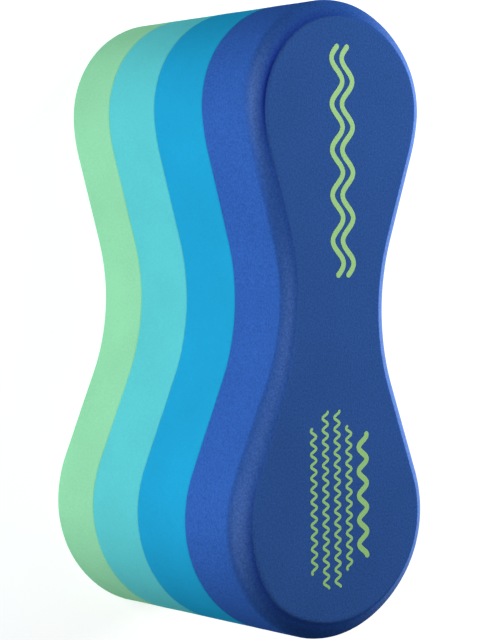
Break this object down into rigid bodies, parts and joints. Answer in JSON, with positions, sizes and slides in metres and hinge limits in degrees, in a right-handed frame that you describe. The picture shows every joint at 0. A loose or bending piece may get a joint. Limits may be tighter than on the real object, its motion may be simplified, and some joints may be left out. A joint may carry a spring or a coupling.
{
  "type": "pull buoy",
  "caption": "Hourglass foam leg float for swimming, laminated from coloured foam sheets, with rounded rims and a waist that the thighs grip.",
  "frame": {"origin": "middle of the bottom of the object's box, with the buoy lying on its green outer face", "axes": "+Z through the glued sheets from the green face to the royal blue face; +X along the length towards the smaller lobe; +Y across the width"},
  "size_m": [0.24, 0.0952, 0.12],
  "materials": {
    "foam_green": "closed-cell EVA foam, fine matte cut skin",
    "foam_aqua": "closed-cell EVA foam, fine matte cut skin",
    "foam_sky_blue": "closed-cell EVA foam, fine matte cut skin",
    "foam_royal_blue": "closed-cell EVA foam, fine grained skin",
    "adhesive": "cured contact adhesive",
    "print_green": "matte screen print ink"
  },
  "bodies": {
    "root": {"foam_sheet_green": "foam_green", "foam_sheet_aqua": "foam_aqua", "foam_sheet_sky_blue": "foam_sky_blue", "foam_sheet_royal_blue": "foam_royal_blue", "adhesive_film_green_aqua": "adhesive", "adhesive_film_aqua_sky": "adhesive", "adhesive_film_sky_royal": "adhesive"}
  },
  "joints": []
}
